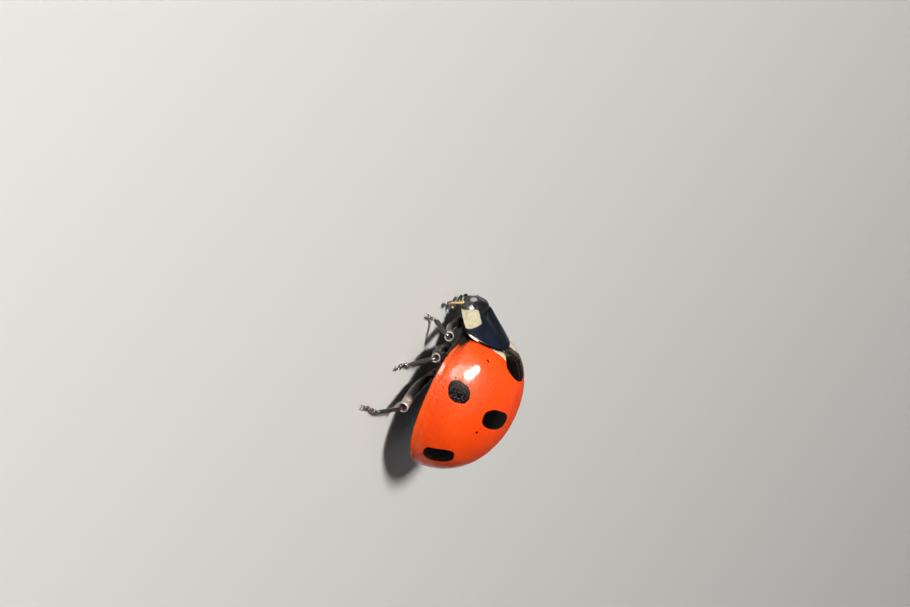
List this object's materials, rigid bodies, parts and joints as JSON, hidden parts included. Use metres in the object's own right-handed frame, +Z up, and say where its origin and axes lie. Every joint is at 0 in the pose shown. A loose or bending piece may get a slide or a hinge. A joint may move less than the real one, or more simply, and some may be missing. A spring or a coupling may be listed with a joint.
{
  "type": "seven-spot ladybird",
  "caption": "Life-size still model of an adult ladybird: domed orange-red spotted wing cases, black neck shield with ivory corners, small turned-down head, short feelers and six black legs.",
  "frame": {"origin": "on the floor under the middle of the animal, halfway between the outermost points of the legs and between the front of the face and the rear end of the wing cases", "axes": "+X towards the animal's left, -Y the way it faces, +Z up"},
  "size_m": [0.0126, 0.0075, 0.0042],
  "materials": {
    "elytra": "glossy orange-red chitin with black spots and fine pits",
    "shield": "glossy black chitin with ivory corners",
    "cuticle": "satin black chitin with pale hairs",
    "ivory": "satin ivory chitin",
    "eye": "dark facets",
    "feeler": "translucent yellowish brown chitin",
    "leg": "satin black chitin with pale hairs"
  },
  "bodies": {
    "root": {"pronotum": "shield", "prothorax": "cuticle", "thorax": "cuticle", "abdomen": "cuticle", "scutellum": "cuticle", "head": "cuticle", "labrum": "cuticle", "elytron_left": "elytra", "elytron_right": "elytra", "mesepimeron_left": "ivory", "mesepimeron_right": "ivory", "eye_left": "eye", "eye_right": "eye", "mandible_left": "cuticle", "mandible_right": "cuticle", "antenna_left": "feeler", "antenna_right": "feeler", "palp_left": "feeler", "palp_right": "feeler", "leg_front_left_coxa": "leg", "leg_front_left_femur": "leg", "leg_front_left_tibia": "leg", "leg_front_left_tarsus": "leg", "leg_front_right_coxa": "leg", "leg_front_right_femur": "leg", "leg_front_right_tibia": "leg", "leg_front_right_tarsus": "leg", "leg_middle_left_coxa": "leg", "leg_middle_left_femur": "leg", "leg_middle_left_tibia": "leg", "leg_middle_left_tarsus": "leg", "leg_middle_right_coxa": "leg", "leg_middle_right_femur": "leg", "leg_middle_right_tibia": "leg", "leg_middle_right_tarsus": "leg", "leg_hind_left_coxa": "leg", "leg_hind_left_femur": "leg", "leg_hind_left_tibia": "leg", "leg_hind_left_tarsus": "leg", "leg_hind_right_coxa": "leg", "leg_hind_right_femur": "leg", "leg_hind_right_tibia": "leg", "leg_hind_right_tarsus": "leg"}
  },
  "joints": []
}
